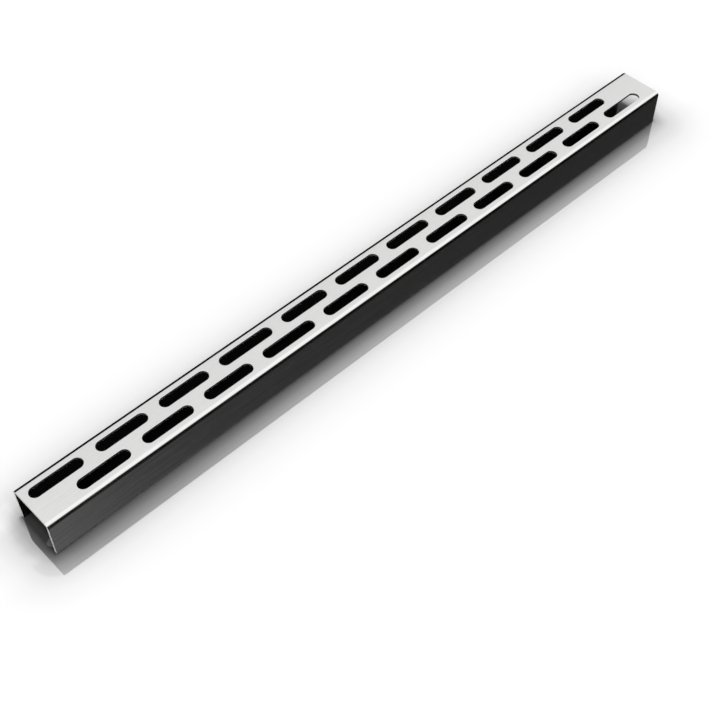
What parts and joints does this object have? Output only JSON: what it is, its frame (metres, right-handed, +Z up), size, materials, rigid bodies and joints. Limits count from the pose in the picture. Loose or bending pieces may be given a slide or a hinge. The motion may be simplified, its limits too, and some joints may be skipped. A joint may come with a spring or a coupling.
{
  "type": "slotted drain grate",
  "caption": "Folded stainless grate of a channel drain: an upside-down U whose top has staggered rows of rounded slots, open underneath and at its ends.",
  "frame": {"origin": "middle of the rectangle that the leg edges stand on", "axes": "+X along the grate, +Y across it, +Z up through the slotted top"},
  "size_m": [0.6, 0.038, 0.03],
  "materials": {
    "stainless": "satin, brushed lengthwise, with plain sheared edges"
  },
  "bodies": {
    "root": {"grate": "stainless"}
  },
  "joints": []
}
